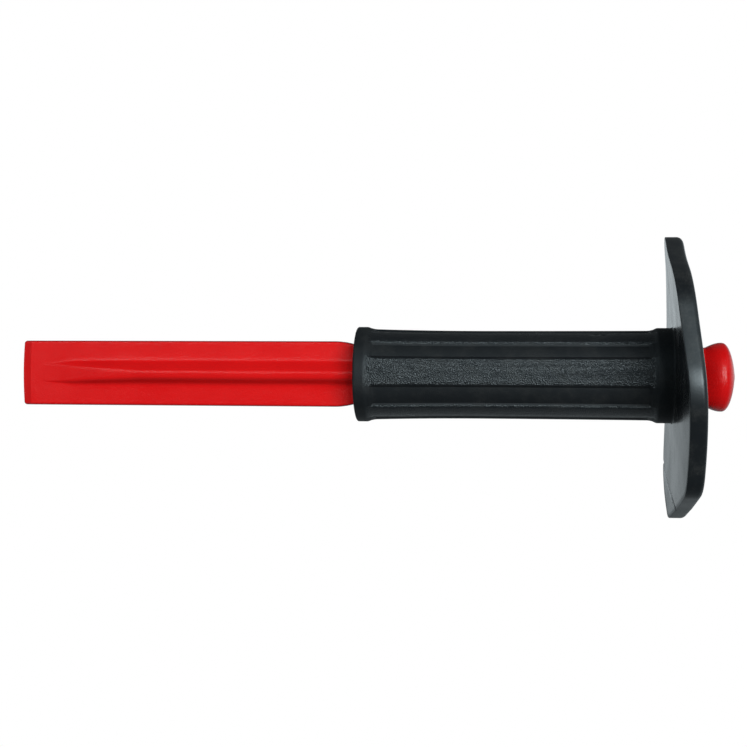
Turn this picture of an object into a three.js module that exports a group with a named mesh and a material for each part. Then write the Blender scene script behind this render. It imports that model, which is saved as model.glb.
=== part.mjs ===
// Cold chisel with a moulded hand guard, in millimetres, +Z up.
// The origin is the centre of the struck face on the head. +X points out of that face, so the blade
// runs towards -X and its cutting edge is at x = -LENGTH. Blade width lies along Z, thickness along Y.
// Stations along the tool are measured from the cutting edge, so x = station - LENGTH.
import * as THREE from 'three';
import { mergeVertices } from 'three/addons/utils/BufferGeometryUtils.js';

const { cos, sin, sqrt, abs, min, max, PI } = Math;
const degrees = PI / 180;

// ---------- chisel bar ----------
const LENGTH = 250;
const BLADE_HALF_WIDTH = 11.45;
const EDGE_ROUND = 1.3;
const EDGE_ROUND_SHARE = 0.6;

// Cutting end: a ground bevel, then a short forged taper.
const EDGE_HALF_THICKNESS = 0.3;
const EDGE_HALF_WIDTH = 10.4;
const EDGE_CORNER = 1.2;
const EDGE_BOW = 0.45;
const EDGE_BOW_FADE = 7.8;
const BEVEL_END = 3.4;
const BEVEL_HALF_THICKNESS = 2.1;
const TAPER_END = 30;

// Blade section: flat wings with a raised rib down the middle of each face.
const WING_HALF_THICKNESS = 3;
const RIB_START = 7.8;
const RIB_BASE_END = 18.9;
const RIB_CREST_END = 44.7;
const RIB_START_HALF = 3.0;
const RIB_BASE_HALF = 4.3;
const RIB_CREST_HALF = 1.05;
const RIB_SLOPE = 1.15;

// Steps along a quarter of the bar's outline: 2 round the edge, 3 across the wing, 3 over the rib.
const QUARTER_STEPS = 8;

// Round shoulders, where the blade narrows to the width of the flat-oval shank inside the guard.
const SHOULDER_START = 113.4;
const SHOULDER_RADIUS = 24.4;
const SHANK_START = 129;
const SHANK_HALF_WIDTH = 10;
const SHANK_HALF_THICKNESS = 6.4;
const SHANK_POWER = 2.6;

// Head: the shank swells behind the guard to a domed bulb with a small flat at its crown.
const HEAD_THICKENING = 236;
const HEAD_WIDENING = 239.8;
const HEAD_SWELL = 1.3;
const HEAD_WIDEST = 245.4;
const HEAD_HALF_WIDTH = 11.72;
const HEAD_HALF_THICKNESS = 9.6;
const HEAD_POWER = 2.1;
const CROWN_HALF_WIDTH = 2.6;
const DOME_POWER = 2.4;
const DOME_ROUND = 0.7;

// ---------- hand guard ----------
const GUARD_START = 121.3;
const FLANGE_FRONT = 229.2;
const FLANGE_THICKNESS = 5.9;
const BORE_GAP = 0.4;
const MOUTH_HALF_WIDTH = 10.9;
const MOUTH_HALF_THICKNESS = 7.2;

// Outside of the sleeve: a collar at each end, and a waisted body with moulded ribs between them.
const FRONT_COLLAR_RADIUS = 16.5;
const REAR_COLLAR_RADIUS = 16.25;
const COLLAR_ROUND = 0.6;
const FRONT_COLLAR_END = 124.7;
const BODY_START = 126.5;
const BODY_END = 222.2;
const REAR_COLLAR_START = 224.2;
const WAIST = 165;
const BODY_START_RADIUS = 16.0;
const WAIST_RADIUS = 15.4;
const BODY_END_RADIUS = 15.55;
const ROOT_FILLET = 0.6;

// Ribs and grooves around the body: one wide rib faces -Y, and the narrower ones share the rest evenly.
// The wide rib sits a little high in its gap, so the groove above it is narrower than the one below.
const RIB_COUNT = 7;
const FRONT_RIB_CENTRE = 3.9 * degrees;
const GAP_CENTRE = 0.4 * degrees;
const FRONT_RIB_HALF = 19 * degrees;
const RIB_HALF = 12.5 * degrees;
const GROOVE_WALL = 3.6 * degrees;
const GROOVE_DEPTH = 0.95;
const GROOVE_RUN_OUT = 1.6;

// Flange: an octagon with rounded corners, hung slightly low. It leans and bends a little because it
// is soft. Its apothem is the distance from its middle to the middle of a side.
const FLANGE_SIDES = 8;
const FLANGE_APOTHEM = 45.6;
const FLANGE_TOP_CORNER = 24;
const FLANGE_BOTTOM_CORNER = 8;
const FLANGE_CORNER_AT = 40 * degrees;
const FLANGE_SAG = 0.3;
const FLANGE_FRONT_CHAMFER = 0.35;
const FLANGE_BACK_ROUND = 2;
const FLANGE_LEAN = 1.47;
const FLANGE_LEAN_TOWARDS = -106 * degrees;
const FLANGE_FOLD = 1.94;
const FLANGE_FOLD_TOWARDS = -22.3 * degrees;

const lerp = THREE.MathUtils.lerp;
const smooth = THREE.MathUtils.smoothstep;
const clamp = THREE.MathUtils.clamp;

// 0 at from, 1 at to, straight in between.
function ramp(value, from, to) {
  return clamp((value - from) / (to - from), 0, 1);
}

// A quarter-round ease: steep at first and level when it arrives at 1.
function easeOut(u) {
  return 1 - (1 - u) ** 2;
}

// Evenly spaced stations from one to another, with the last one left out.
function spread(from, to, count) {
  return Array.from({ length: count }, (_, i) => lerp(from, to, i / count));
}

// Shares from 0 to 1 in even steps, with both ends kept.
function shares(count) {
  return Array.from({ length: count + 1 }, (_, i) => i / count);
}

// Radius of a superellipse at an angle measured from -Y towards +Z.
function ovalRadius(angle, halfThickness, halfWidth, power) {
  const across = abs(cos(angle)) / halfThickness;
  const along = abs(sin(angle)) / halfWidth;
  return (across ** power + along ** power) ** (-1 / power);
}

// Skin through rings of points that all have the same count. Closed along its length, the skin is a
// tube bent into a torus. Open, each end is capped with a fan about the ring's mean point.
function skin(rings, closed) {
  const count = rings[0].length;
  const points = rings.flat();
  const faces = [];
  const steps = closed ? rings.length : rings.length - 1;
  for (let i = 0; i < steps; i += 1) {
    const here = i * count;
    const next = ((i + 1) % rings.length) * count;
    for (let j = 0; j < count; j += 1) {
      const k = (j + 1) % count;
      faces.push(here + j, next + k, next + j, here + j, here + k, next + k);
    }
  }
  if (!closed) {
    const last = (rings.length - 1) * count;
    points.push(meanPoint(rings[0]), meanPoint(rings[rings.length - 1]));
    for (let j = 0; j < count; j += 1) {
      const k = (j + 1) % count;
      faces.push(points.length - 2, k, j, points.length - 1, last + j, last + k);
    }
  }
  const geometry = new THREE.BufferGeometry().setFromPoints(points);
  geometry.setIndex(faces);
  const merged = mergeVertices(geometry);
  merged.computeVertexNormals();
  return merged;
}

function meanPoint(ring) {
  const sum = new THREE.Vector3();
  ring.forEach((point) => sum.add(point));
  return sum.divideScalar(ring.length);
}

// ---------- chisel bar sections ----------

// Half-width of the blade, with rounded corners at the cutting edge and rounded shoulders.
function bladeHalfWidth(station) {
  const corner = 1 - sqrt(1 - (1 - ramp(station, 0, EDGE_CORNER)) ** 2);
  const past = max(station - SHOULDER_START, 0);
  const shoulder = SHOULDER_RADIUS - sqrt(SHOULDER_RADIUS ** 2 - past ** 2);
  const width = BLADE_HALF_WIDTH - corner * (BLADE_HALF_WIDTH - EDGE_HALF_WIDTH) - shoulder;
  return max(width, SHANK_HALF_WIDTH);
}

function wingHalfThickness(station) {
  const bevel = lerp(EDGE_HALF_THICKNESS, BEVEL_HALF_THICKNESS, ramp(station, 0, BEVEL_END));
  const swell = easeOut(ramp(station, BEVEL_END, TAPER_END));
  return bevel + swell * (WING_HALF_THICKNESS - BEVEL_HALF_THICKNESS);
}

// One quarter of the blade's outline, from the middle of its narrow edge to the rib's crest line,
// as [y, z] pairs in the quarter where both are positive.
function bladeQuarter(station) {
  const width = bladeHalfWidth(station);
  const wing = wingHalfThickness(station);
  const round = min(EDGE_ROUND, wing * EDGE_ROUND_SHARE);
  const base = lerp(RIB_START_HALF, RIB_BASE_HALF, ramp(station, RIB_START, RIB_BASE_END));
  const crest = lerp(RIB_START_HALF, RIB_CREST_HALF, ramp(station, RIB_START, RIB_CREST_END));
  const rib = (base - crest) * RIB_SLOPE;
  const corner = shares(2).map((u) => [
    wing - round * (1 - sin(u * PI / 2)),
    width - round * (1 - cos(u * PI / 2)),
  ]);
  const flat = [1 / 3, 2 / 3].map((u) => [wing, lerp(width - round, base, u)]);
  return [[0, width], ...corner, ...flat, [wing, base], [wing + rib, crest], [wing + rib, 0]];
}

// The same number of points on a quarter of an oval.
function ovalQuarter(halfThickness, halfWidth, power) {
  return shares(QUARTER_STEPS).map((turn) => {
    const angle = (1 - turn) * PI / 2;
    const radius = ovalRadius(angle, halfThickness, halfWidth, power);
    return [radius * cos(angle), radius * sin(angle)];
  });
}

// Shank and head: half-width and half-thickness at a station, swelling to the bulb and then doming over.
function ovalSize(station) {
  if (station > HEAD_WIDEST) {
    const dome = (1 - ramp(station, HEAD_WIDEST, LENGTH) ** DOME_POWER) ** DOME_ROUND;
    const halfWidth = max(HEAD_HALF_WIDTH * dome, CROWN_HALF_WIDTH);
    const halfThickness = halfWidth * HEAD_HALF_THICKNESS / HEAD_HALF_WIDTH;
    return { halfWidth, halfThickness, power: HEAD_POWER };
  }
  const widening = easeOut(ramp(station, HEAD_WIDENING, HEAD_WIDEST)) ** HEAD_SWELL;
  const thickening = easeOut(ramp(station, HEAD_THICKENING, HEAD_WIDEST)) ** HEAD_SWELL;
  return {
    halfWidth: lerp(SHANK_HALF_WIDTH, HEAD_HALF_WIDTH, widening),
    halfThickness: lerp(SHANK_HALF_THICKNESS, HEAD_HALF_THICKNESS, thickening),
    power: lerp(SHANK_POWER, HEAD_POWER, thickening),
  };
}

// The quarter outline at any station, blending from the ribbed blade to the oval shank.
function quarterAt(station) {
  const size = ovalSize(station);
  const oval = ovalQuarter(size.halfThickness, size.halfWidth, size.power);
  const blend = smooth(station, GUARD_START, SHANK_START);
  const blade = bladeQuarter(min(station, SHANK_START));
  return oval.map(([y, z], i) => [lerp(blade[i][0], y, blend), lerp(blade[i][1], z, blend)]);
}

// A full ring of points, going round from +Z through -Y, -Z and +Y.
function ringAt(station) {
  const quarter = quarterAt(station);
  const back = quarter.slice(1).reverse();
  const outline = [
    ...quarter.slice(0, -1).map(([y, z]) => [-y, z]),
    ...back.map(([y, z]) => [-y, -z]),
    ...quarter.slice(0, -1).map(([y, z]) => [y, -z]),
    ...back.map(([y, z]) => [y, z]),
  ];
  const bow = EDGE_BOW * (1 - ramp(station, 0, EDGE_BOW_FADE));
  return outline.map(([y, z]) => {
    const x = station - LENGTH + bow * (z / BLADE_HALF_WIDTH) ** 2;
    return new THREE.Vector3(x, y, z);
  });
}

function chiselBar() {
  const stations = [
    ...spread(0, EDGE_CORNER, 3),
    ...[EDGE_CORNER, BEVEL_END, (BEVEL_END + RIB_START) / 2],
    ...spread(RIB_START, RIB_BASE_END, 3),
    ...spread(RIB_BASE_END, RIB_CREST_END, 4),
    ...[RIB_CREST_END],
    ...spread(SHOULDER_START, GUARD_START, 4),
    ...spread(GUARD_START, SHANK_START, 4),
    ...[SHANK_START],
    ...spread(HEAD_THICKENING, HEAD_WIDEST, 8),
    ...shares(8).map((u) => lerp(HEAD_WIDEST, LENGTH, easeOut(u))),
  ];
  return skin(stations.map(ringAt), false);
}

// ---------- hand guard ----------

// Radius of the oval bore: a wide mouth for the blade's shoulders, then a close fit on the shank.
function boreRadius(station, angle) {
  const inward = ramp(station, GUARD_START, SHANK_START);
  const halfThickness = lerp(MOUTH_HALF_THICKNESS, SHANK_HALF_THICKNESS + BORE_GAP, inward);
  const halfWidth = lerp(MOUTH_HALF_WIDTH, SHANK_HALF_WIDTH + BORE_GAP, inward);
  return ovalRadius(angle, halfThickness, halfWidth, SHANK_POWER);
}

// The ribs, each with the angle of its middle and half its width to the middle of its side walls.
function ribs() {
  const narrow = RIB_COUNT - 1;
  const groove = (2 * PI - 2 * FRONT_RIB_HALF - narrow * 2 * RIB_HALF) / RIB_COUNT;
  const first = GAP_CENTRE + FRONT_RIB_HALF + groove + RIB_HALF;
  const others = Array.from({ length: narrow }, (_, i) => first + i * (2 * RIB_HALF + groove));
  return [
    { middle: FRONT_RIB_CENTRE, half: FRONT_RIB_HALF },
    ...others.map((middle) => ({ middle, half: RIB_HALF })),
  ];
}

// Angles round the guard and how deep in a groove each is: 0 on a rib's top, 1 on a groove's floor.
function guardAngles() {
  const all = ribs();
  return all.flatMap(({ middle, half }, i) => {
    const next = all[(i + 1) % all.length];
    const turned = next.middle < middle ? 2 * PI : 0;
    const top = half - GROOVE_WALL / 2;
    const floorStart = middle + half + GROOVE_WALL / 2;
    const floorEnd = next.middle + turned - next.half - GROOVE_WALL / 2;
    return [
      ...shares(5).map((u) => ({ angle: middle + lerp(-top, top, u), groove: 0 })),
      ...shares(3).map((u) => ({ angle: lerp(floorStart, floorEnd, u), groove: 1 })),
    ];
  });
}

// Outside radius of the ribbed body, a parabola through its two ends and its waist.
function bodyRadius(station, groove) {
  const end = station < WAIST ? BODY_START : BODY_END;
  const endRadius = station < WAIST ? BODY_START_RADIUS : BODY_END_RADIUS;
  const away = ((station - WAIST) / (end - WAIST)) ** 2;
  const depth = GROOVE_DEPTH * ramp(station, BODY_START, BODY_START + GROOVE_RUN_OUT)
    * ramp(station, BODY_END, BODY_END - GROOVE_RUN_OUT);
  return lerp(WAIST_RADIUS, endRadius, away) - depth * groove;
}

// Outside radius of the flange at an angle: straight sides joined by arcs round the corners. The arcs
// are tighter towards the bottom.
function flangeRim(angle) {
  const half = PI / FLANGE_SIDES;
  const turn = (angle - FLANGE_CORNER_AT) / (2 * half);
  const cornerAngle = FLANGE_CORNER_AT + Math.round(turn) * 2 * half;
  const fromCorner = abs(angle - cornerAngle);
  const low = (1 - sin(cornerAngle)) / 2;
  const arc = lerp(FLANGE_TOP_CORNER, FLANGE_BOTTOM_CORNER, low ** 3);
  const centre = (FLANGE_APOTHEM - arc) / cos(half);
  const arcEnd = Math.atan2(arc * sin(half), centre + arc * cos(half));
  if (fromCorner > arcEnd) {
    return FLANGE_APOTHEM / cos(half - fromCorner);
  }
  return centre * cos(fromCorner) + sqrt(arc ** 2 - (centre * sin(fromCorner)) ** 2);
}

// How far the flange bends along X, and sags, at a radius and angle.
function flangeBend(radius, angle) {
  const out = clamp((radius - REAR_COLLAR_RADIUS) / (flangeRim(angle) - REAR_COLLAR_RADIUS), 0, 1);
  const lean = FLANGE_LEAN * out * cos(angle - FLANGE_LEAN_TOWARDS);
  const fold = FLANGE_FOLD * out ** 2 * cos(2 * (angle - FLANGE_FOLD_TOWARDS));
  return { bend: lean + fold, sag: FLANGE_SAG * out };
}

// The guard's section at one place round it as [station, radius] pairs, from the bore's front mouth out over
// the sleeve, round the flange, and back through the bore.
function guardSection({ angle, groove }) {
  const back = FLANGE_FRONT + FLANGE_THICKNESS;
  const rim = flangeRim(angle);
  const bodyStations = [
    ...[BODY_START, BODY_START + GROOVE_RUN_OUT],
    ...[(BODY_START + WAIST) / 2, WAIST, (BODY_END + WAIST) / 2],
    ...[BODY_END - GROOVE_RUN_OUT, BODY_END],
  ];
  const bore = (station) => [station, boreRadius(station, angle)];
  const fillet = shares(2).map((u) => [
    FLANGE_FRONT - ROOT_FILLET * (1 - sin(u * PI / 2)),
    REAR_COLLAR_RADIUS + ROOT_FILLET * (1 - cos(u * PI / 2)),
  ]);
  const backRound = shares(3).map((u) => [
    back - FLANGE_BACK_ROUND * (1 - sin(u * PI / 2)),
    rim - FLANGE_BACK_ROUND * (1 - cos(u * PI / 2)),
  ]);
  return [
    bore(GUARD_START),
    [GUARD_START, FRONT_COLLAR_RADIUS - COLLAR_ROUND],
    [GUARD_START + COLLAR_ROUND, FRONT_COLLAR_RADIUS],
    [FRONT_COLLAR_END, FRONT_COLLAR_RADIUS],
    ...bodyStations.map((station) => [station, bodyRadius(station, groove)]),
    [REAR_COLLAR_START, REAR_COLLAR_RADIUS],
    ...fillet,
    ...[1 / 3, 2 / 3].map((u) => [FLANGE_FRONT, lerp(REAR_COLLAR_RADIUS, rim, u)]),
    [FLANGE_FRONT, rim - FLANGE_FRONT_CHAMFER],
    [FLANGE_FRONT + FLANGE_FRONT_CHAMFER, rim],
    ...backRound,
    ...[2 / 3, 1 / 3].map((u) => [back, lerp(REAR_COLLAR_RADIUS, rim, u)]),
    [back, REAR_COLLAR_RADIUS],
    bore(back),
    bore(SHANK_START),
  ];
}

function handGuard() {
  const rings = guardAngles().map((place) => guardSection(place).map(([station, radius]) => {
    const { bend, sag } = flangeBend(radius, place.angle);
    return new THREE.Vector3(
      station - LENGTH + bend,
      -radius * cos(place.angle),
      radius * sin(place.angle) - sag,
    );
  }));
  return skin(rings, true);
}

// ---------- assembly ----------
function piece(name, geometry, finish) {
  const mesh = new THREE.Mesh(geometry, new THREE.MeshStandardMaterial(finish));
  mesh.name = name;
  return mesh;
}

const coldChisel = new THREE.Group();
coldChisel.name = 'cold_chisel';
coldChisel.add(piece('chisel_bar', chiselBar(), { color: 0xd21b1a, roughness: 0.35, metalness: 0 }));
coldChisel.add(piece('hand_guard', handGuard(), { color: 0x17191b, roughness: 0.55, metalness: 0 }));

export default coldChisel;
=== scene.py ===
import math

import bpy
import numpy as np
from mathutils import Matrix, Vector

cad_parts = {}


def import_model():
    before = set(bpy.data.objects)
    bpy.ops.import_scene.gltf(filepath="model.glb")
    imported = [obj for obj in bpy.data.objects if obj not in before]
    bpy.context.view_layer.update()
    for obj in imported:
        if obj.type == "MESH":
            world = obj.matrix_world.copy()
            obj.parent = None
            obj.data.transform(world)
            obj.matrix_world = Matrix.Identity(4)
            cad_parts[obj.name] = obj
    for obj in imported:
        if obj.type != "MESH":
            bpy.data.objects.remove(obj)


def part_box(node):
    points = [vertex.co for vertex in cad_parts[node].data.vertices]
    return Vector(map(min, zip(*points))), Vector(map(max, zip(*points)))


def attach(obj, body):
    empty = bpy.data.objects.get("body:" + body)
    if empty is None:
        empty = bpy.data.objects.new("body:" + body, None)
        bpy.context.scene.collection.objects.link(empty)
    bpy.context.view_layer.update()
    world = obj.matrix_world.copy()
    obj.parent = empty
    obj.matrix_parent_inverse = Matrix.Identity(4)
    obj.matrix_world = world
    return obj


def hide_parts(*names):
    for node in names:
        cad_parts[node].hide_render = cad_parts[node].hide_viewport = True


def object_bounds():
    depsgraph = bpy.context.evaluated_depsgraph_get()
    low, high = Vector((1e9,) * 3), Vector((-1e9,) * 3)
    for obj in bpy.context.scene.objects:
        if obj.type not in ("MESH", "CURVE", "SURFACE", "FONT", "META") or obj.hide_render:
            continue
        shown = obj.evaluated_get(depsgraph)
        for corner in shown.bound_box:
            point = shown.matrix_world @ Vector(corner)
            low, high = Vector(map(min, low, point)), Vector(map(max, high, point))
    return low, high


# Looks for the cold chisel: a red enamelled steel bar in a black moulded hand guard.
#
# The tool lies along X. The origin is the struck face, the cutting edge is at the low end of X, the blade's
# width is along Z and its thickness along Y. Lengths below are in millimetres unless a comment says metres,
# and stations are distances from the cutting edge. MM turns them into the metres that Blender works in.
# Angles round the tool are measured from -Y, which faces the camera, towards +Z.
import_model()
cad_low, cad_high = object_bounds()
bar_low, bar_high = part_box("chisel_bar")
guard_low, guard_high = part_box("hand_guard")

MM = 0.001
DEG = math.pi / 180

# ---------- sizes taken from the frame ----------
EDGE_X = bar_low.x / MM
LENGTH = (bar_high.x - bar_low.x) / MM
HEAD_HALF_WIDTH = bar_high.z / MM
HEAD_HALF_THICKNESS = bar_high.y / MM
GUARD_START = guard_low.x / MM - EDGE_X

# ---------- the bar ----------
# Cutting end: a bowed edge, a ground bevel, then a short forged taper.
TIP_HALF_THICKNESS = 0.3
TIP_HALF_WIDTH = 10.4
TIP_ROUND = 0.25
TIP_ROUND_SHARE = 0.4
TIP_CORNER = 1.2
TIP_BOW = 0.45
TIP_BOW_FADE = 7.8
BEVEL_END = 3.4
BEVEL_BEND = 0.15
BEVEL_HALF_THICKNESS = 2.1
TAPER_END = 30

# Blade: flat wings with rounded edges, and a raised rib whose crest narrows towards the guard.
BLADE_HALF_WIDTH = 11.45
WING_HALF_THICKNESS = 3.0
EDGE_ROUND = 0.8
EDGE_ROUND_SHARE = 0.7
EDGE_SQUARENESS = 0.15
# Width of the painted shade along the blade's narrow edges, where the enamel is darkened.
EDGE_SHADE_WIDTH = 0.45
RIB_START = 7.8
RIB_BASE_END = 18.9
RIB_CREST_END = 44.7
RIB_START_HALF = 3.0
RIB_BASE_HALF = 4.3
RIB_CREST_HALF = 1.05
RIB_SLOPE = 1.15
RIB_START_SHARE = 0.35
RIB_RISE = 24
UPPER_FLANK_SOFTNESS = 0.18
UPPER_FLANK_RUN = 1
LOWER_FLANK_SOFTNESS = 0.45
LOWER_FLANK_RUN = 0.5
LEAST_FLANK = 0.1
LEAST_CREST = 0.3
LEAST_BEND = 0.15

# Round shoulders, and the flat-oval shank inside the guard.
SHOULDER_START = 113.4
SHOULDER_RADIUS = 24.4
SHANK_START = 129
SHANK_HALF_WIDTH = 10
SHANK_HALF_THICKNESS = 6.4
SHANK_POWER = 2.6

# Head: it swells behind the guard, hangs a little low, and ends in a dome with a small flat.
HEAD_THICKENING = 239.8
HEAD_THICKEST = 244.9
HEAD_EASE = 1.5
HEAD_WIDENING = 239.8
HEAD_WIDEST = 245.4
HEAD_SWELL = 1.3
HEAD_POWER = 2.1
HEAD_DROP = 0.42
HEAD_DROP_START = 222
CROWN_HALF_WIDTH = 2.6
CROWN_ROUND = 0.5
CROWN_NARROWING = 0.5
WIDTH_DOME_POWER = 2.4
THICKNESS_DOME_POWER = 3.2
DOME_ROUND = 0.7

# Steps along a quarter of the bar's outline, over the rib's crest and flank, the wing and the edge.
CREST_STEPS, FLANK_STEPS, WING_STEPS, CORNER_STEPS = 6, 16, 12, 9
QUARTER_POINTS = CREST_STEPS + FLANK_STEPS + WING_STEPS + CORNER_STEPS + 1

# ---------- the guard ----------
# Sleeve: a collar at each end, and a waisted body between them.
FRONT_COLLAR_RADIUS = 16.5
REAR_COLLAR_RADIUS = 16.25
COLLAR_ROUND = 0.6
COLLAR_LAND = 0.5
FRONT_COLLAR_END = 124.7
BODY_START = 126.5
BODY_END = 222.2
REAR_COLLAR_START = 224.2
WAIST = 165
BODY_START_RADIUS = 16.0
WAIST_RADIUS = 15.4
BODY_END_RADIUS = 15.55
ROOT_FILLET = 0.6

# Ribs and grooves: the wide front rib sits a little high in its gap.
FRONT_RIB_CENTRE = 3.9 * DEG
RIB_CENTRE = 0.4 * DEG
FRONT_RIB_HALF = 19 * DEG
RIB_HALF = 12.5 * DEG
GROOVE_WIDTH = 24.5 * DEG
GROOVE_WALL = 3.6 * DEG
GROOVE_DEPTH = 0.95
GROOVE_FOOT_SOFTNESS = 0.10
RIB_EDGE_SOFTNESS = 0.40
GROOVE_RUN_OUT = 1.6
GUARD_STEPS = 700
FINE_STEPS = 20
WALL_CROWDING = 5

# A small knock on top of the sleeve, made of dents and burrs.
NICK_SEED = 4
NICK_DENTS = 9
NICK_STATION = 204
NICK_ANGLE = 64 * DEG
NICK_REACH = 2.8
NICK_SIZE = 0.9
NICK_DEPTH = 0.3
NICK_MEAN = 0.4
NICK_SPAN = 4

# Bore: it closes in on the bar at the mouth, and its ends are eased.
BORE_GAP = 0.4
BORE_ROUND = 0.4
BORE_ROUND_DEPTH = 0.5
BORE_INSET = 2
LIP_GAP = 0.15
LIP_ROUND = 0.4
LIP_DEPTH = 2.5
MOUTH_STEPS = 8
MOUTH_FIRST_SHARE = 0.2

# Flange: an octagon with rounded corners, which leans, folds a little and hangs slightly low.
FLANGE_FRONT = 229.2
FLANGE_THICKNESS = 5.9
FLANGE_FRONT_ROUND = 0.35
FLANGE_BACK_ROUND = 2
FLANGE_SIDES = 8
FLANGE_APOTHEM = 45.6
FLANGE_TOP_CORNER = 24
FLANGE_BOTTOM_CORNER = 8
FLANGE_CORNER_AT = 40 * DEG
CORNER_TIGHTENING = 3
FLANGE_SAG = 0.3
FLANGE_LEAN = 1.47
FLANGE_LEAN_TOWARDS = -106 * DEG
FLANGE_FOLD = 1.94
FLANGE_FOLD_TOWARDS = -22.3 * DEG
FACE_STEPS = 48
FACE_FIRST_SHARE = 0.03
RIM_ROW_SHARE = 0.35
FRONT_SKIN = 1

# A crease across the low end of the flange: the part past it is folded a little towards the blade, and a
# thin groove runs along it in the front face.
CREASE_TOWARDS = -106 * DEG
CREASE_FROM = 40
CREASE_SLOPE = 0.08
CREASE_SOFTNESS = 0.2
CREASE_WIDTH = 0.35
CREASE_DEPTH = 0.35

# Finish: how much of the pebbling there is off the ribs, how much of the flange's gloss there is on its
# rim, and how far inside the rim that change starts and ends.
SLIGHT_GRAIN = 0.25
RIM_GLOSS = 0.65
RIM_BLEND_START = 1.4
RIM_BLEND_END = 0.9

# ---------- materials: linear colours, noise scales per metre, and bump depths in millimetres ----------
RED_DARK = (0.535, 0.0048, 0.0054, 1)
RED_LIGHT = (0.565, 0.0056, 0.0060, 1)
RED_SPECKLE = (0.43, 0.004, 0.005, 1)
# Painted shade: the dark red laid along the blade's narrow edges.
RED_EDGE_SHADE = (0.16, 0.002, 0.003, 1)
RED_CLOUD_SCALE = 70
RED_SPECKLE_SCALE = 2600
RED_SPECKLE_SHARE = 0.4
RED_ROUGHNESS = (0.19, 0.24)
RED_SPECULAR = 0.19
PEEL_SCALE, PEEL_DEPTH = 650, 0.04
GRIT_SCALE, GRIT_DEPTH = 2400, 0.09

BLACK_DARK = (0.0030, 0.0038, 0.0050, 1)
BLACK_LIGHT = (0.0052, 0.0060, 0.0074, 1)
BLACK_CLOUD_SCALE = 60
BLACK_ROUGHNESS = (0.68, 0.76)
BLACK_SPECULAR_TINT = (0.80, 0.95, 1.0, 1)
GRAIN_SPECULAR = (0.32, 0.58)
GRAIN_SMOOTHING = 0.42
GLOSS_SPECULAR = 0.43
GLOSS_SMOOTHING = 0.50
DUST = (0.050, 0.050, 0.046, 1)
DUST_PATCH_SCALE = 130
DUST_SPECK_SCALE = 2400
DUST_SHARE = (0.3, 0.6)
DUST_ROUGHENING = 0.10
SKIN_SCALE, SKIN_DEPTH = 1400, 0.02
PEBBLE_SCALE, PEBBLE_DEPTH = 2500, 0.20
PEBBLE_RANDOMNESS = 0.7
SURFACE_IOR = 1.5

# ---------- camera: it aims at the axis near the tool's middle, from slightly on the head's side ----------
AIM_STATION = 126.7
AIM_HEIGHT = 0.25
CAMERA_DISTANCE = 506.8
CAMERA_AZIMUTH = 6.8 * DEG
CAMERA_ROLL = 0.286 * DEG
CAMERA_LENS = 69.9
CAMERA_SENSOR = 36
CAMERA_CLIP = (0.01, 50)  # metres

# ---------- studio: radiance of the sky and floor in light and reflections ----------
WHITE = (1, 1, 1, 1)
SKY_TINT = (0.90, 0.99, 1.03, 1)
SKY_DIM = 0.06
SKY_OVER_CAMERA = 0.9
SKY_BEHIND = 0.78
SKY_HIGH_BEHIND = 0.15
FLOOR_IN_FRONT = 0.12
FLOOR_BEHIND = 0.50
FLOOR_PATCH_SCALE = 6
FLOOR_PATCH_SHARE = (0.92, 1.0)
FLOOR_HALF_SIZE = 6000
FLOOR_HEIGHT = -140
LAMP_DISTANCE = 1.0  # metres

# Where the studio changes: the height and depth of a direction of unit length, and the floor's Y in metres.
OVER_CAMERA_RISES = (0.15, 0.42)
OVER_CAMERA_FALLS = (0.55, 0.72)
BEHIND_FALLS = (0.1, 0.4)
BEHIND_STARTS = (-0.25, 0.3)
FLOOR_CHANGES = (-0.05, 0.2)


# ---------- small helpers ----------
def ramp(value, start, end):
    """0 at start, 1 at end, straight in between."""
    return np.clip((value - start) / (end - start), 0, 1)


def mix(a, b, u):
    return a + (b - a) * u


def ease_out(u):
    return 1 - (1 - u) ** 2


def smooth(u):
    return u * u * (3 - 2 * u)


def soft_clamp(u, foot, head):
    """u held between 0 and 1, with the two bends rounded by foot and head."""
    return (np.sqrt(u * u + foot * foot) - np.sqrt((u - 1) ** 2 + head * head) + 1) / 2


def runs(*pieces):
    """Joins (start, end, count) runs into one rising list of stations."""
    parts = [np.linspace(start, end, count, endpoint=False) for start, end, count in pieces]
    return np.concatenate(parts + [[pieces[-1][1]]])


def oval_radius(angle, half_thickness, half_width, power):
    """Radius of a superellipse at an angle round the tool."""
    across = np.abs(np.cos(angle)) / half_thickness
    along = np.abs(np.sin(angle)) / half_width
    return (across ** power + along ** power) ** (-1 / power)


def grid_mesh(name, points, closed_rows):
    """A smooth mesh from a rows x columns grid of points in mm. Columns always close into rings.
    Open rows get a fan of faces at each end."""
    rows, columns = points.shape[:2]
    vertices = points.reshape(-1, 3) * MM
    row = np.arange(rows if closed_rows else rows - 1)[:, None]
    column = np.arange(columns)[None, :]
    next_row = (row + 1) % rows
    next_column = (column + 1) % columns
    quads = np.stack([
        row * columns + column,
        row * columns + next_column,
        next_row * columns + next_column,
        next_row * columns + column,
    ], axis=-1).reshape(-1, 4)
    faces = quads.tolist()
    if not closed_rows:
        ends = np.array([points[0].mean(0), points[-1].mean(0)]) * MM
        vertices = np.vstack([vertices, ends])
        first, last = len(vertices) - 2, (rows - 1) * columns
        for here in range(columns):
            there = (here + 1) % columns
            faces.append([first, there, here])
            faces.append([first + 1, last + here, last + there])
    mesh = bpy.data.meshes.new(name)
    mesh.from_pydata(vertices.tolist(), [], faces)
    mesh.validate()
    mesh.update()
    mesh.polygons.foreach_set("use_smooth", [True] * len(mesh.polygons))
    return add_object(name, mesh)


def add_object(name, data):
    """A new object in the scene, which shows a mesh, a light or a camera."""
    added = bpy.data.objects.new(name, data)
    bpy.context.scene.collection.objects.link(added)
    return added


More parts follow.
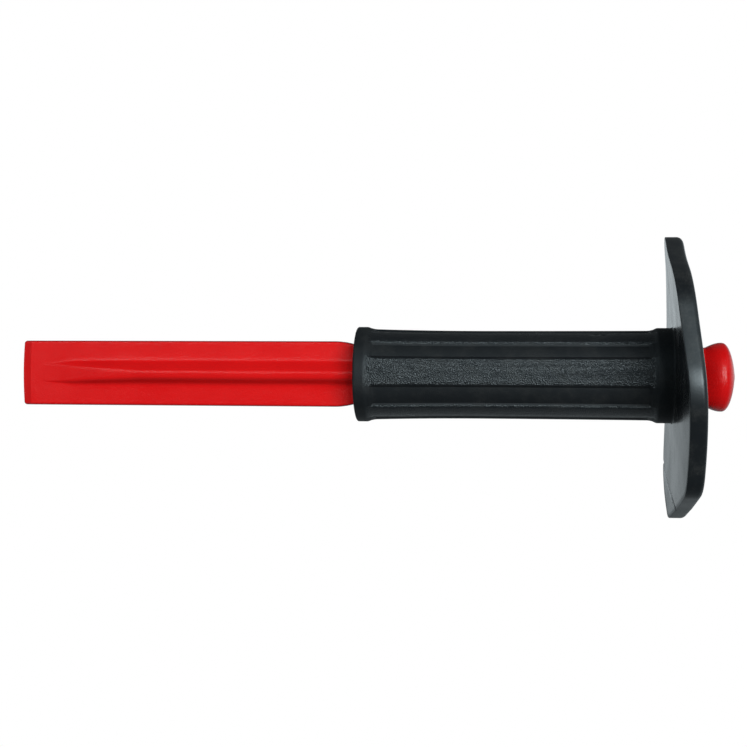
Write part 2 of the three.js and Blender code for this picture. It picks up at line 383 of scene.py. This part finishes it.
def store(piece, name, values):
    """Keeps one number per point on the mesh, for the materials to read."""
    attribute = piece.data.attributes.new(name, "FLOAT", "POINT")
    attribute.data.foreach_set("value", np.ravel(values).astype(np.float32))


# ---------- the bar's sections ----------
def blade_half_width(station):
    corner = 1 - math.sqrt(1 - (1 - ramp(station, 0, TIP_CORNER)) ** 2)
    past = max(station - SHOULDER_START, 0)
    shoulder = SHOULDER_RADIUS - math.sqrt(SHOULDER_RADIUS ** 2 - past ** 2)
    width = BLADE_HALF_WIDTH - corner * (BLADE_HALF_WIDTH - TIP_HALF_WIDTH) - shoulder
    return max(width, SHANK_HALF_WIDTH)


def wing_half_thickness(station):
    bevel = mix(TIP_HALF_THICKNESS, BEVEL_HALF_THICKNESS, ramp(station, 0, BEVEL_END))
    swell = ease_out(ramp(station, BEVEL_END, TAPER_END))
    tip = math.sqrt(1 - (1 - ramp(station, 0, TIP_ROUND)) ** 2)
    return bevel * mix(TIP_ROUND_SHARE, 1, tip) + swell * (WING_HALF_THICKNESS - BEVEL_HALF_THICKNESS)


def blade_quarter(station, softness, run):
    """The blade's outline from the rib's crest to the middle of the narrow edge, as (y, z), both positive.
    Softness rounds the bends at the foot and the top of the rib's flank, and run is the flank's share of
    its full width, so a small run makes it steeper."""
    width = blade_half_width(station)
    wing = wing_half_thickness(station)
    corner = min(EDGE_ROUND, wing * EDGE_ROUND_SHARE)
    base = mix(RIB_START_HALF, RIB_BASE_HALF, ramp(station, RIB_START, RIB_BASE_END))
    crest = mix(RIB_START_HALF, RIB_CREST_HALF, ramp(station, RIB_START, RIB_CREST_END))
    risen = smooth(ramp(station, RIB_START, RIB_START + RIB_RISE))
    rib = (base - crest) * RIB_SLOPE * mix(RIB_START_SHARE, 1, risen)
    centre, half = (base + crest) / 2, max((base - crest) * run, LEAST_FLANK) / 2
    reach = max((base - crest) * softness, LEAST_BEND)
    flank_start = max(crest - reach, LEAST_CREST)
    z = np.concatenate([
        np.linspace(0, flank_start, CREST_STEPS, endpoint=False),
        np.linspace(flank_start, base + reach, FLANK_STEPS, endpoint=False),
        np.linspace(base + reach, width - corner, WING_STEPS, endpoint=False),
    ])
    height = rib * soft_clamp((centre + half - z) / (2 * half), softness, softness)
    turn = np.linspace(0, math.pi / 2, CORNER_STEPS + 1)
    corner_z = width - corner + corner * np.sin(turn)
    corner_y = (wing - corner) * np.cos(turn) ** EDGE_SQUARENESS + corner * np.cos(turn)
    corner_y[-1] = 0
    return np.concatenate([wing + height, corner_y]), np.concatenate([z, corner_z])


def dome(station, start, power):
    """Share of the head's full size left at a station past the widest place."""
    return (1 - ramp(station, start, LENGTH) ** power) ** DOME_ROUND


def oval_size(station):
    """Half-thickness, half-width and power of the shank's and head's oval section."""
    widening = ease_out(ramp(station, HEAD_WIDENING, HEAD_WIDEST)) ** HEAD_SWELL
    thickening = 1 - (1 - ramp(station, HEAD_THICKENING, HEAD_THICKEST)) ** HEAD_EASE
    half_width = mix(SHANK_HALF_WIDTH, HEAD_HALF_WIDTH, widening)
    half_thickness = mix(SHANK_HALF_THICKNESS, HEAD_HALF_THICKNESS, thickening)
    crown = CROWN_HALF_WIDTH * (1 - CROWN_NARROWING * ramp(station, LENGTH - CROWN_ROUND, LENGTH) ** 2)
    return (
        max(half_thickness * dome(station, HEAD_THICKEST, THICKNESS_DOME_POWER), crown),
        max(half_width * dome(station, HEAD_WIDEST, WIDTH_DOME_POWER), crown),
        mix(SHANK_POWER, HEAD_POWER, thickening),
    )


def bar_quarter(station, softness, run):
    """The bar's outline at a station, as blade_quarter gives it: blade, then shank and head."""
    half_thickness, half_width, power = oval_size(station)
    angle = np.linspace(0, math.pi / 2, QUARTER_POINTS)
    radius = oval_radius(angle, half_thickness, half_width, power)
    oval_y, oval_z = radius * np.cos(angle), radius * np.sin(angle)
    blend = smooth(ramp(station, GUARD_START + LIP_DEPTH, SHANK_START))
    if blend >= 1:
        return oval_y, oval_z
    blade_y, blade_z = blade_quarter(min(station, SHANK_START), softness, run)
    return mix(blade_y, oval_y, blend), mix(blade_z, oval_z, blend)


def bar_ring(station):
    """A full ring of (x, y, z) points, from -Y round by +Z."""
    y, z = bar_quarter(station, UPPER_FLANK_SOFTNESS, UPPER_FLANK_RUN)
    low_y, low_z = bar_quarter(station, LOWER_FLANK_SOFTNESS, LOWER_FLANK_RUN)
    ring_y = np.concatenate([-y, y[-2:0:-1], low_y, -low_y[-2:0:-1]])
    ring_z = np.concatenate([z, z[-2:0:-1], -low_z, -low_z[-2:0:-1]])
    bow = TIP_BOW * (1 - ramp(station, 0, TIP_BOW_FADE))
    ring_x = EDGE_X + station + bow * (ring_z / BLADE_HALF_WIDTH) ** 2
    drop = HEAD_DROP * smooth(ramp(station, HEAD_DROP_START, HEAD_THICKENING))
    return np.stack([ring_x, ring_y, ring_z - drop], axis=-1)


def chisel_bar():
    stations = runs(
        (0, TIP_ROUND, 6), (TIP_ROUND, TIP_CORNER, 8), (TIP_CORNER, BEVEL_END - BEVEL_BEND, 10),
        (BEVEL_END - BEVEL_BEND, BEVEL_END + BEVEL_BEND, 4), (BEVEL_END + BEVEL_BEND, RIB_START, 12),
        (RIB_START, RIB_BASE_END, 24), (RIB_BASE_END, RIB_CREST_END, 26),
        (RIB_CREST_END, SHOULDER_START, 40), (SHOULDER_START, SHANK_START, 30),
        (SHANK_START, HEAD_THICKENING, 20), (HEAD_THICKENING, HEAD_WIDEST, 30),
        (HEAD_WIDEST, LENGTH - CROWN_ROUND, 26), (LENGTH - CROWN_ROUND, LENGTH, 8),
    )
    points = np.array([bar_ring(station) for station in stations])
    piece = grid_mesh("chisel_bar_finish", points, closed_rows=False)
    store_edge_shade(piece, stations, points)
    return piece


def store_edge_shade(piece, stations, points):
    """Stores the share edge at each point, which darkens the enamel as painted shade: full along the
    blade's two narrow edges, and none elsewhere.
    The two points in the middle of the end fans come last, and get none."""
    beside = np.abs(points[:, :, 2])
    from_edge = beside.max(axis=1, keepdims=True) - beside
    blade = 1 - ramp(stations, GUARD_START, SHANK_START)[:, None]
    store(piece, "edge", np.append(blade * ramp(from_edge, EDGE_SHADE_WIDTH, EDGE_SHADE_WIDTH / 3), [0, 0]))


# ---------- the guard's surface ----------
def bar_radius(station, angle):
    """Polar radius of the bar's outline at each angle."""
    ring = bar_ring(station)
    ring_angle = np.arctan2(ring[:, 2], -ring[:, 1])
    order = np.argsort(ring_angle)
    return np.interp(angle, ring_angle[order], np.hypot(ring[:, 1], ring[:, 2])[order], period=2 * math.pi)


def past_rib_edge(angle):
    """Angle past the middle of the nearest rib's side wall: negative on a rib and positive in a groove.
    One wide rib faces the camera, and six narrower ones share the rest evenly."""
    front = np.abs((angle - FRONT_RIB_CENTRE + math.pi) % (2 * math.pi) - math.pi)
    side = np.abs((angle - RIB_CENTRE + math.pi) % (2 * math.pi) - math.pi)
    pitch = 2 * RIB_HALF + GROOVE_WIDTH
    beyond = side - (FRONT_RIB_HALF + GROOVE_WIDTH + RIB_HALF)
    narrow = np.abs(beyond - np.round(np.maximum(beyond, 0) / pitch) * pitch) - RIB_HALF
    return np.minimum(front - FRONT_RIB_HALF, narrow)


def groove_at(angle):
    """1 in a groove's floor and 0 on top of a rib."""
    wall = past_rib_edge(angle) / GROOVE_WALL + 0.5
    return np.clip(soft_clamp(wall, RIB_EDGE_SOFTNESS, GROOVE_FOOT_SOFTNESS), 0, 1)


def guard_angles():
    """Angles round the guard, closest together on the ribs' side walls."""
    fine = np.linspace(-math.pi, math.pi, GUARD_STEPS * FINE_STEPS, endpoint=False)
    crowding = 1 + WALL_CROWDING * np.exp(-(past_rib_edge(fine) / GROOVE_WALL) ** 2)
    reached = np.cumsum(crowding) / crowding.sum()
    return np.interp((np.arange(GUARD_STEPS) + 0.5) / GUARD_STEPS, reached, fine)


def nick_at(station, angle):
    """Depth of the small knock in the sleeve: a few dents and burrs close together."""
    rng = np.random.default_rng(NICK_SEED)
    depth = 0
    for _ in range(NICK_DENTS):
        along, around, deep = rng.uniform(-1, 1, 3)
        far = ((station - NICK_STATION - along * NICK_REACH) / NICK_SIZE) ** 2
        far = far + ((angle - NICK_ANGLE) * WAIST_RADIUS / NICK_SIZE - around) ** 2
        depth = depth + NICK_DEPTH * (NICK_MEAN + deep) * np.exp(-far)
    return depth


def sleeve_radius(station, groove):
    """Outside radius of the sleeve between the front face and the flange's fillet."""
    away = ramp(abs(station - WAIST), 0, (WAIST - BODY_START) if station < WAIST else (BODY_END - WAIST))
    end_radius = BODY_START_RADIUS if station < WAIST else BODY_END_RADIUS
    body = mix(WAIST_RADIUS, end_radius, away ** 2)
    front = 1 - smooth(ramp(station, FRONT_COLLAR_END, BODY_START))
    rear = smooth(ramp(station, BODY_END, REAR_COLLAR_START))
    depth = GROOVE_DEPTH * smooth(ramp(station, BODY_START, BODY_START + GROOVE_RUN_OUT))
    depth *= smooth(ramp(station, BODY_END, BODY_END - GROOVE_RUN_OUT))
    ribbed = body - depth * groove
    return mix(mix(ribbed, FRONT_COLLAR_RADIUS, front), REAR_COLLAR_RADIUS, rear)


def flange_rim(angle):
    """Outside radius of the flange: an octagon's straight sides, joined by arcs round its corners.
    The arcs are tighter towards the bottom."""
    half = math.pi / FLANGE_SIDES
    turn = (angle - FLANGE_CORNER_AT) / (2 * half)
    from_corner = np.abs(turn - np.round(turn)) * 2 * half
    low = (1 - np.sin(FLANGE_CORNER_AT + np.round(turn) * 2 * half)) / 2
    corner = mix(FLANGE_TOP_CORNER, FLANGE_BOTTOM_CORNER, low ** CORNER_TIGHTENING)
    centre = (FLANGE_APOTHEM - corner) / math.cos(half)
    arc_end = np.arctan2(corner * math.sin(half), centre + corner * math.cos(half))
    side = FLANGE_APOTHEM / np.cos(half - np.minimum(from_corner, half))
    reach = np.maximum(corner ** 2 - (centre * np.sin(from_corner)) ** 2, 0)
    return np.where(from_corner > arc_end, side, centre * np.cos(from_corner) + np.sqrt(reach))


def arc(centre_station, centre_radius, radius, start, end, steps):
    """(station, radius) points on an arc, with its angle measured from +X towards the outside."""
    turn = np.linspace(start, end, steps)
    return [(centre_station + radius * math.cos(t), centre_radius + radius * math.sin(t)) for t in turn]


def guard_profile(angles, groove):
    """Rows of (station, radius) round the guard's section. Each row holds one value per angle."""
    ones = np.ones_like(angles)
    back = FLANGE_FRONT + FLANGE_THICKNESS
    rim = flange_rim(angles)
    face_shares = np.linspace(FACE_FIRST_SHARE, 1, FACE_STEPS, endpoint=False)
    rows = []

    def bore(station, gap):
        rows.append((station * ones, bar_radius(station, angles) + gap))

    def ring(station, radius):
        rows.append((station * ones, radius * ones))

    # The mouth, from inside the bore out over the sleeve's front face and round its edge.
    bore(GUARD_START + LIP_DEPTH, LIP_GAP)
    bore(GUARD_START + LIP_ROUND, LIP_GAP)
    bore(GUARD_START + LIP_ROUND / 4, LIP_GAP + LIP_ROUND / 4)
    bore(GUARD_START, LIP_GAP + LIP_ROUND)
    mouth = bar_radius(GUARD_START, angles) + LIP_GAP + LIP_ROUND
    for share in np.linspace(MOUTH_FIRST_SHARE, 1, MOUTH_STEPS):
        ring(GUARD_START, mix(mouth, FRONT_COLLAR_RADIUS - COLLAR_ROUND, share))
    for station, radius in arc(GUARD_START + COLLAR_ROUND, FRONT_COLLAR_RADIUS - COLLAR_ROUND,
                               COLLAR_ROUND, math.pi, math.pi / 2, steps=8)[1:]:
        ring(station, radius)

    # The sleeve's outside, with its rows closest together at the knock, and the fillet at its end.
    stations = runs(
        (GUARD_START + COLLAR_ROUND + COLLAR_LAND, FRONT_COLLAR_END, 4), (FRONT_COLLAR_END, BODY_START, 8),
        (BODY_START, BODY_START + GROOVE_RUN_OUT, 8),
        (BODY_START + GROOVE_RUN_OUT, NICK_STATION - NICK_SPAN, 36),
        (NICK_STATION - NICK_SPAN, NICK_STATION + NICK_SPAN, 40),
        (NICK_STATION + NICK_SPAN, BODY_END - GROOVE_RUN_OUT, 8),
        (BODY_END - GROOVE_RUN_OUT, BODY_END, 8), (BODY_END, REAR_COLLAR_START, 8),
        (REAR_COLLAR_START, FLANGE_FRONT - ROOT_FILLET, 4),
    )
    for station in stations:
        ring(station, sleeve_radius(station, groove) - nick_at(station, angles))
    for station, radius in arc(FLANGE_FRONT - ROOT_FILLET, REAR_COLLAR_RADIUS + ROOT_FILLET,
                               ROOT_FILLET, -math.pi / 2, 0, steps=9)[1:]:
        ring(station, radius)

    # The flange: front face, rim and back face.
    for share in face_shares:
        ring(FLANGE_FRONT, mix(REAR_COLLAR_RADIUS + ROOT_FILLET, rim - FLANGE_FRONT_ROUND, share))
    for station, inset in arc(FLANGE_FRONT + FLANGE_FRONT_ROUND, -FLANGE_FRONT_ROUND,
                              FLANGE_FRONT_ROUND, math.pi, math.pi / 2, steps=6):
        ring(station, rim + inset)
    ring(mix(FLANGE_FRONT, back, RIM_ROW_SHARE), rim)
    for station, inset in arc(back - FLANGE_BACK_ROUND, -FLANGE_BACK_ROUND,
                              FLANGE_BACK_ROUND, math.pi / 2, 0, steps=10):
        ring(station, rim + inset)
    inner = bar_radius(back, angles) + BORE_GAP
    for share in face_shares:
        ring(back, mix(rim - FLANGE_BACK_ROUND, inner + BORE_ROUND, share))

    # The bore, from the flange's back to the mouth.
    ring(back, inner + BORE_ROUND)
    ring(back - BORE_ROUND / 4, inner + BORE_ROUND / 4)
    ring(back - BORE_ROUND_DEPTH, inner)
    for station in np.linspace(back - BORE_INSET, GUARD_START + LIP_DEPTH + BORE_INSET, 8):
        bore(station, BORE_GAP)
    return rows


def store_finish(piece):
    """Stores two shares at each point: grain, the pebbling, full on the ribs and slight elsewhere on the
    sleeve, and gloss, full on the flange's faces, less on its rim and none on the sleeve."""
    count = len(piece.data.vertices)
    co = np.empty(count * 3)
    piece.data.vertices.foreach_get("co", co)
    x, y, z = (co.reshape(-1, 3) / MM).T
    station, radius, angle = x - EDGE_X, np.hypot(y, z), np.arctan2(z, -y)
    body = ramp(station, FRONT_COLLAR_END, BODY_START) * ramp(station, REAR_COLLAR_START, BODY_END)
    past_fillet = radius > REAR_COLLAR_RADIUS + ROOT_FILLET / 2
    flange = (past_fillet | (station > FLANGE_FRONT + FRONT_SKIN)).astype(float)
    rim = ramp(radius, flange_rim(angle) - RIM_BLEND_START, flange_rim(angle) - RIM_BLEND_END)
    store(piece, "grain", (1 - flange) * mix(SLIGHT_GRAIN, 1, body * (past_rib_edge(angle) < 0)))
    store(piece, "gloss", flange * (1 - rim * (1 - RIM_GLOSS)))


def crease_at(station, radius, angles):
    """How far each point of the flange moves towards the blade at the crease."""
    beyond = radius * np.cos(angles - CREASE_TOWARDS) - CREASE_FROM
    flap = CREASE_SLOPE * (beyond + np.sqrt(beyond ** 2 + CREASE_SOFTNESS ** 2)) / 2
    line = CREASE_DEPTH * np.exp(-(beyond / CREASE_WIDTH) ** 2) * (station < FLANGE_FRONT + FRONT_SKIN)
    return flap - line


def hand_guard():
    angles = guard_angles()
    rim = flange_rim(angles)
    grid = []
    for station, radius in guard_profile(angles, groove_at(angles)):
        rear = station > WAIST
        out = np.clip((radius - REAR_COLLAR_RADIUS) / (rim - REAR_COLLAR_RADIUS), 0, 1) * rear
        lean = FLANGE_LEAN * out * np.cos(angles - FLANGE_LEAN_TOWARDS)
        fold = FLANGE_FOLD * out ** 2 * np.cos(2 * (angles - FLANGE_FOLD_TOWARDS))
        grid.append(np.stack([
            EDGE_X + station + lean + fold - crease_at(station, radius, angles) * rear,
            -radius * np.cos(angles),
            radius * np.sin(angles) - FLANGE_SAG * out,
        ], axis=-1))
    piece = grid_mesh("hand_guard_finish", np.array(grid)[::-1], closed_rows=True)
    store_finish(piece)
    return piece


# ---------- materials ----------
class Nodes:
    """A short way to write a node tree."""

    def __init__(self, tree):
        self.tree = tree

    def add(self, kind, **settings):
        """A new node. A setting is one of its inputs by name, or else one of its properties."""
        node = self.tree.nodes.new(kind)
        for key, value in settings.items():
            if key in node.inputs:
                self.feed(node.inputs[key], value)
            else:
                setattr(node, key, value)
        return node

    def feed(self, socket, value):
        """Links an input to another node's output, or sets it to a plain value."""
        if isinstance(value, bpy.types.NodeSocket):
            self.tree.links.new(value, socket)
        else:
            socket.default_value = value

    def fill(self, node, *inputs):
        """Feeds (number, value) inputs, for nodes that have several inputs of one name."""
        for number, value in inputs:
            self.feed(node.inputs[number], value)
        return node

    def set(self, node, **values):
        """Feeds inputs of the tree's own node of that name. A _ stands for a space in an input's name."""
        for key, value in values.items():
            self.feed(self.tree.nodes[node].inputs[key.replace("_", " ")], value)

    def where(self):
        return self.add("ShaderNodeTexCoord").outputs["Object"]

    def stored(self, name):
        """A number that was stored at the mesh's points."""
        return self.add("ShaderNodeAttribute", attribute_name=name).outputs["Fac"]

    def noise(self, scale, detail, roughness=0.5):
        settings = {"Scale": scale, "Detail": detail, "Roughness": roughness, "Vector": self.where()}
        return self.add("ShaderNodeTexNoise", **settings).outputs["Fac"]

    def cells(self, scale, randomness):
        settings = {"Scale": scale, "Randomness": randomness, "Vector": self.where()}
        return self.add("ShaderNodeTexVoronoi", **settings).outputs["Distance"]

    def map(self, value, low, high, to_low=0.0, to_high=1.0, curve="LINEAR"):
        node = self.add("ShaderNodeMapRange", interpolation_type=curve)
        for key, number in (("Value", value), ("From Min", low), ("From Max", high),
                            ("To Min", to_low), ("To Max", to_high)):
            self.feed(node.inputs[key], number)
        return node.outputs["Result"]

    def math(self, operation, a, b):
        return self.fill(self.add("ShaderNodeMath", operation=operation), (0, a), (1, b)).outputs["Value"]

    def mix(self, share, a, b):
        """A number between a and b."""
        node = self.add("ShaderNodeMix", data_type="FLOAT")
        return self.fill(node, (0, share), (2, a), (3, b)).outputs[0]

    def blend(self, share, a, b):
        """A colour between a and b."""
        node = self.add("ShaderNodeMix", data_type="RGBA")
        return self.fill(node, (0, share), (6, a), (7, b)).outputs[2]

    def bump(self, height, depth, strength=1.0, under=None):
        """A normal from a height of 0 to 1, which stands for depth millimetres, over another normal."""
        node = self.add("ShaderNodeBump", Height=height, Distance=depth * MM, Strength=strength)
        if under is not None:
            self.feed(node.inputs["Normal"], under)
        return node.outputs["Normal"]


def new_material(name):
    material = bpy.data.materials.new(name)
    material.use_nodes = True
    return material, Nodes(material.node_tree)


def red_enamel():
    """Red enamel with a faint cloudiness, fine dark speckle, orange peel and grit, and painted shade:
    darker red along the blade's narrow edges.
    """
    material, m = new_material("red_enamel")
    cloud = m.map(m.noise(RED_CLOUD_SCALE, detail=3), low=0.35, high=0.65)
    speckle = m.map(m.noise(RED_SPECKLE_SCALE, detail=2), low=0.45, high=0.75)
    tone = m.blend(cloud, RED_DARK, RED_LIGHT)
    tone = m.blend(m.math("MULTIPLY", speckle, RED_SPECKLE_SHARE), tone, RED_SPECKLE)
    # Painted shade: the stored edge share darkens the red along the blade's narrow edges.
    tone = m.blend(m.stored("edge"), tone, RED_EDGE_SHADE)
    peel = m.bump(m.noise(PEEL_SCALE, detail=2, roughness=0.55), PEEL_DEPTH)
    grit = m.bump(m.noise(GRIT_SCALE, detail=2, roughness=0.65), GRIT_DEPTH, under=peel)
    m.set("Principled BSDF", Base_Color=tone, Roughness=m.map(cloud, 0, 1, *RED_ROUGHNESS), IOR=SURFACE_IOR,
          Specular_IOR_Level=RED_SPECULAR, Normal=grit)
    return material


def black_rubber():
    """Black rubber with patches of dust specks. The stored grain makes it pebbled, and both grain and gloss
    make it shinier."""
    material, m = new_material("black_rubber")
    grain = m.stored("grain")
    gloss = m.stored("gloss")
    cloud = m.noise(BLACK_CLOUD_SCALE, detail=3)
    patches = m.map(m.noise(DUST_PATCH_SCALE, detail=4, roughness=0.7), low=0.46, high=0.64)
    specks = m.map(m.noise(DUST_SPECK_SCALE, detail=3, roughness=0.8), low=0.35, high=0.7)
    dust = m.math("MULTIPLY", patches, specks)
    tone = m.blend(cloud, BLACK_DARK, BLACK_LIGHT)
    tone = m.blend(m.math("MULTIPLY", dust, m.map(gloss, 0, 1, *DUST_SHARE)), tone, DUST)
    rough = m.map(cloud, 0.3, 0.7, *BLACK_ROUGHNESS)
    rough = m.math("SUBTRACT", rough, m.math("MULTIPLY", grain, GRAIN_SMOOTHING))
    rough = m.math("SUBTRACT", rough, m.math("MULTIPLY", gloss, GLOSS_SMOOTHING))
    rough = m.math("ADD", rough, m.math("MULTIPLY", dust, DUST_ROUGHENING))
    specular = m.math("ADD", m.map(grain, 0, 1, *GRAIN_SPECULAR), m.map(gloss, 0, 1, 0, GLOSS_SPECULAR))
    skin = m.bump(m.noise(SKIN_SCALE, detail=3), SKIN_DEPTH)
    pebbled = m.bump(m.cells(PEBBLE_SCALE, PEBBLE_RANDOMNESS), PEBBLE_DEPTH, strength=grain, under=skin)
    m.set("Principled BSDF", Base_Color=tone, Roughness=rough, IOR=SURFACE_IOR, Specular_IOR_Level=specular,
          Specular_Tint=BLACK_SPECULAR_TINT, Normal=pebbled)
    return material


def pale_floor():
    """A plain pale floor: pure white to the camera, and dimmer in reflections, most of all in front."""
    material, m = new_material("pale_floor")
    seen = m.add("ShaderNodeLightPath").outputs["Is Camera Ray"]
    place = m.add("ShaderNodeSeparateXYZ", Vector=m.where())
    patches = m.map(m.noise(FLOOR_PATCH_SCALE, detail=2), 0.3, 0.7, *FLOOR_PATCH_SHARE)
    shade = m.math("MULTIPLY", patches, FLOOR_BEHIND)
    glow = m.map(place.outputs["Y"], *FLOOR_CHANGES, FLOOR_IN_FRONT, shade, curve="SMOOTHSTEP")
    m.set("Principled BSDF", Base_Color=(0, 0, 0, 1), Roughness=1, Specular_IOR_Level=0.0,
          Emission_Color=m.blend(seen, SKY_TINT, WHITE), Emission_Strength=m.mix(seen, glow, 1.0))
    return material


# ---------- stage, light and camera ----------
def floor():
    half, height = FLOOR_HALF_SIZE * MM, FLOOR_HEIGHT * MM
    corners = [(-half, -half, height), (half, -half, height), (half, half, height), (-half, half, height)]
    mesh = bpy.data.meshes.new("floor")
    mesh.from_pydata(corners, [], [(0, 1, 2, 3)])
    mesh.materials.append(pale_floor())
    add_object("floor", mesh)


def softbox(name, azimuth, elevation, width, height, power, only=None, reflected=True):
    """An area light that faces the middle of the tool. It stands at an azimuth and elevation in degrees,
    seen from there. Its size is in metres and its power in watts. It lights every piece, or only one."""
    light = bpy.data.lights.new(name, "AREA")
    light.shape = "RECTANGLE"
    light.size, light.size_y = width, height
    light.energy = power
    lamp = add_object(name, light)
    a, e = azimuth * DEG, elevation * DEG
    back = Vector((math.sin(a) * math.cos(e), -math.cos(a) * math.cos(e), math.sin(e)))
    lamp.location = (cad_low + cad_high) / 2 + back * LAMP_DISTANCE
    lamp.rotation_mode = "QUATERNION"
    lamp.rotation_quaternion = (-back).to_track_quat("-Z", "Y")
    lamp.visible_glossy = reflected
    if only is not None:
        lit = bpy.data.collections.new(name + "_lit")
        lit.objects.link(only)
        lamp.light_linking.receiver_collection = lit


def lamps(bar):
    """A broad key to the right of the camera, two weak lamps on the left for the bar, and one behind."""
    softbox("key", azimuth=27, elevation=8, width=0.52, height=0.30, power=9.0)
    softbox("left", azimuth=-24, elevation=21, width=0.30, height=0.20, power=1.6, only=bar)
    softbox("fill", azimuth=-38, elevation=0, width=0.40, height=0.40, power=2.2, only=bar,
            reflected=False)
    softbox("behind", azimuth=205, elevation=20, width=0.60, height=0.60, power=6.0, reflected=False)


def camera():
    data = bpy.data.cameras.new("camera")
    data.lens, data.sensor_width = CAMERA_LENS, CAMERA_SENSOR
    data.clip_start, data.clip_end = CAMERA_CLIP
    eye = add_object("camera", data)
    aim = Vector((EDGE_X + AIM_STATION, 0, AIM_HEIGHT)) * MM
    back = Vector((math.sin(CAMERA_AZIMUTH), -math.cos(CAMERA_AZIMUTH), 0))
    eye.location = aim + back * CAMERA_DISTANCE * MM
    turn = (-back).to_track_quat("-Z", "Y").to_matrix() @ Matrix.Rotation(CAMERA_ROLL, 3, "Z")
    eye.rotation_mode = "QUATERNION"
    eye.rotation_quaternion = turn.to_quaternion()
    bpy.context.scene.camera = eye


def world():
    """White all round for the camera. For light and reflections it is bright behind the tool, up to a
    little above the horizon, and in a band high over the camera, and dim elsewhere."""
    sky = bpy.data.worlds.new("studio")
    bpy.context.scene.world = sky
    sky.use_nodes = True
    m = Nodes(sky.node_tree)
    way = m.add("ShaderNodeSeparateXYZ", Vector=m.add("ShaderNodeTexCoord").outputs["Generated"])
    depth, up = way.outputs["Y"], way.outputs["Z"]
    over_camera = m.math("MULTIPLY", m.map(up, *OVER_CAMERA_RISES, curve="SMOOTHSTEP"),
                         m.map(up, *OVER_CAMERA_FALLS, 1, 0, curve="SMOOTHSTEP"))
    front = m.map(over_camera, 0, 1, SKY_DIM, SKY_OVER_CAMERA)
    behind = m.map(up, *BEHIND_FALLS, SKY_BEHIND, SKY_HIGH_BEHIND, curve="SMOOTHSTEP")
    glow = m.mix(m.map(depth, *BEHIND_STARTS, curve="SMOOTHSTEP"), front, behind)
    seen = m.add("ShaderNodeLightPath").outputs["Is Camera Ray"]
    m.set("Background", Color=m.blend(seen, SKY_TINT, WHITE), Strength=m.mix(seen, glow, 1.0))


# ---------- put it together ----------
def stand_for(piece, node, material):
    """Shows a piece in place of a CAD node, with a material for one of the record's slots."""
    piece.data.materials.append(material)
    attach(piece, "root")
    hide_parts(node)


bar = chisel_bar()
stand_for(bar, "chisel_bar", red_enamel())
guard = hand_guard()
stand_for(guard, "hand_guard", black_rubber())

floor()
lamps(bar)
world()
camera()
bpy.context.scene.view_settings.view_transform = "Standard"
